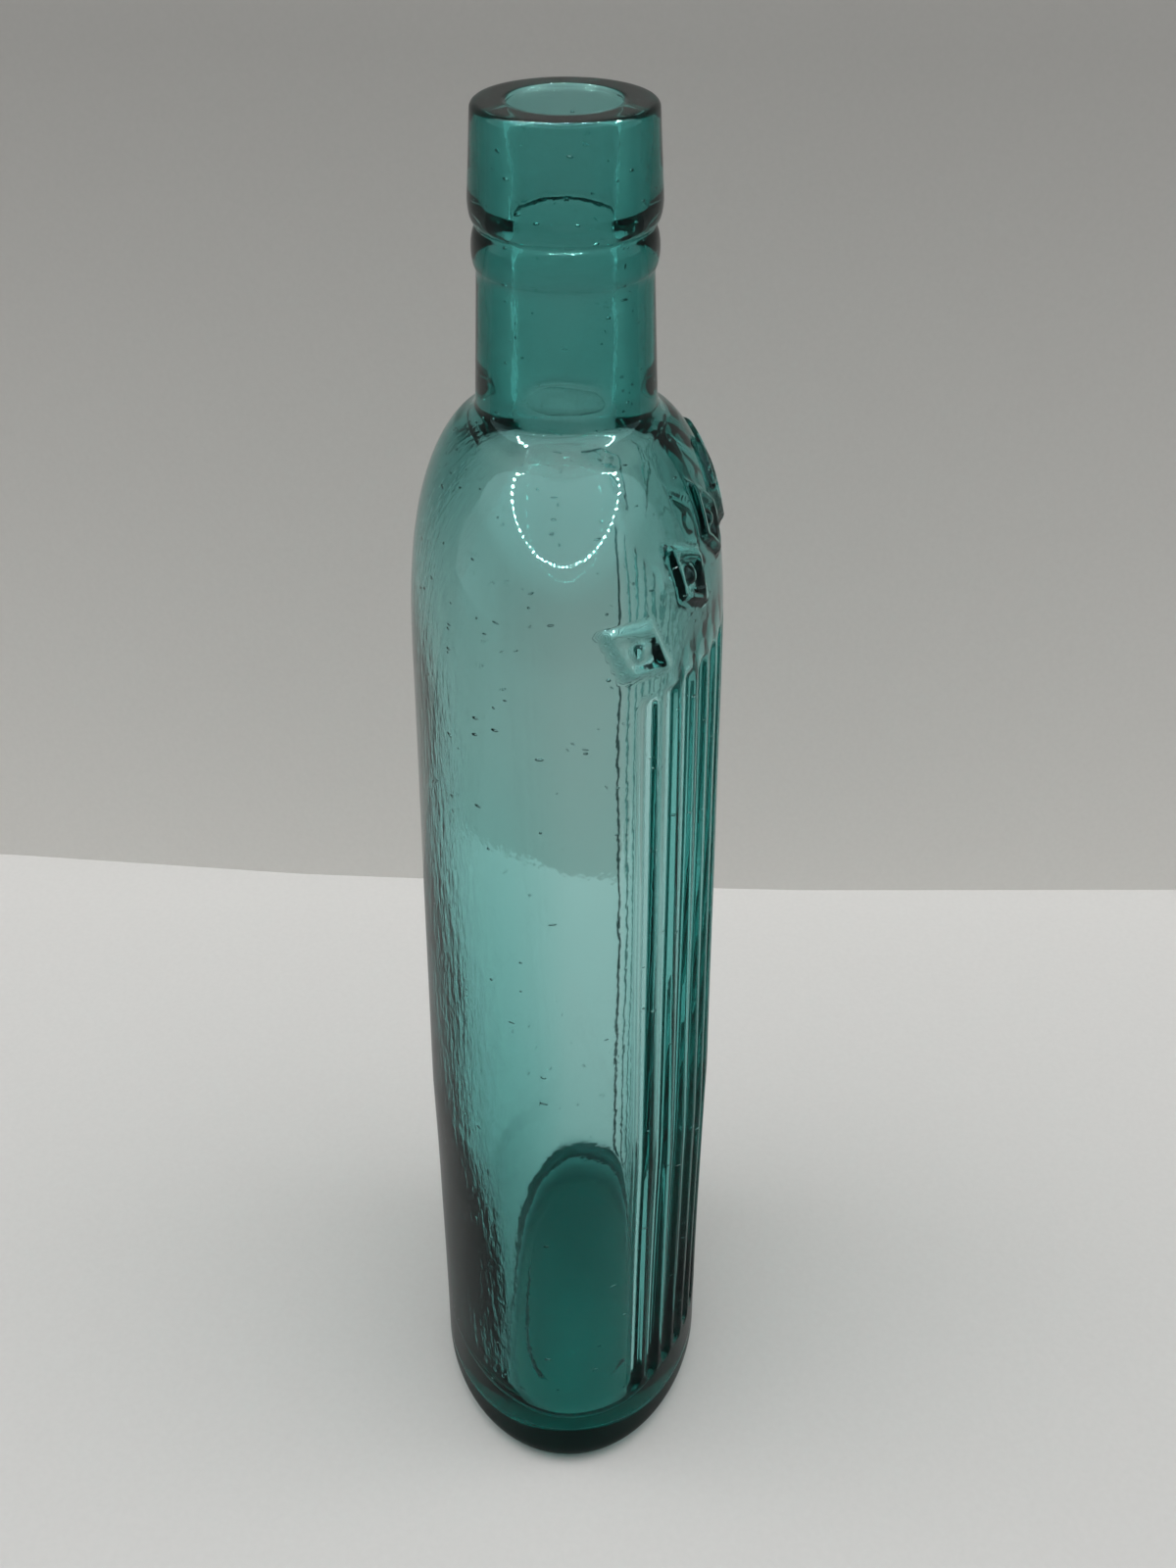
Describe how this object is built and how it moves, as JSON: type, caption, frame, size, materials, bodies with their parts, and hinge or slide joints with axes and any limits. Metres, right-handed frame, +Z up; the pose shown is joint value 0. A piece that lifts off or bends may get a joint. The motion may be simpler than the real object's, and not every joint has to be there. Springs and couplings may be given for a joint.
{
  "type": "poison bottle",
  "caption": "Oval aqua glass poison bottle with a fluted front, full round shoulders, a stout round neck and an applied lip with a ring bead.",
  "frame": {"origin": "under the middle of the base, on the surface the bottle stands on", "axes": "+Z up along the neck, X along the wide way of the oval, the fluted front towards -Y"},
  "size_m": [0.071, 0.0454, 0.215],
  "materials": {
    "aqua_glass": "polished, wavy, seedy blown glass"
  },
  "bodies": {
    "root": {"blown_body": "aqua_glass", "applied_lip": "aqua_glass"}
  },
  "joints": []
}
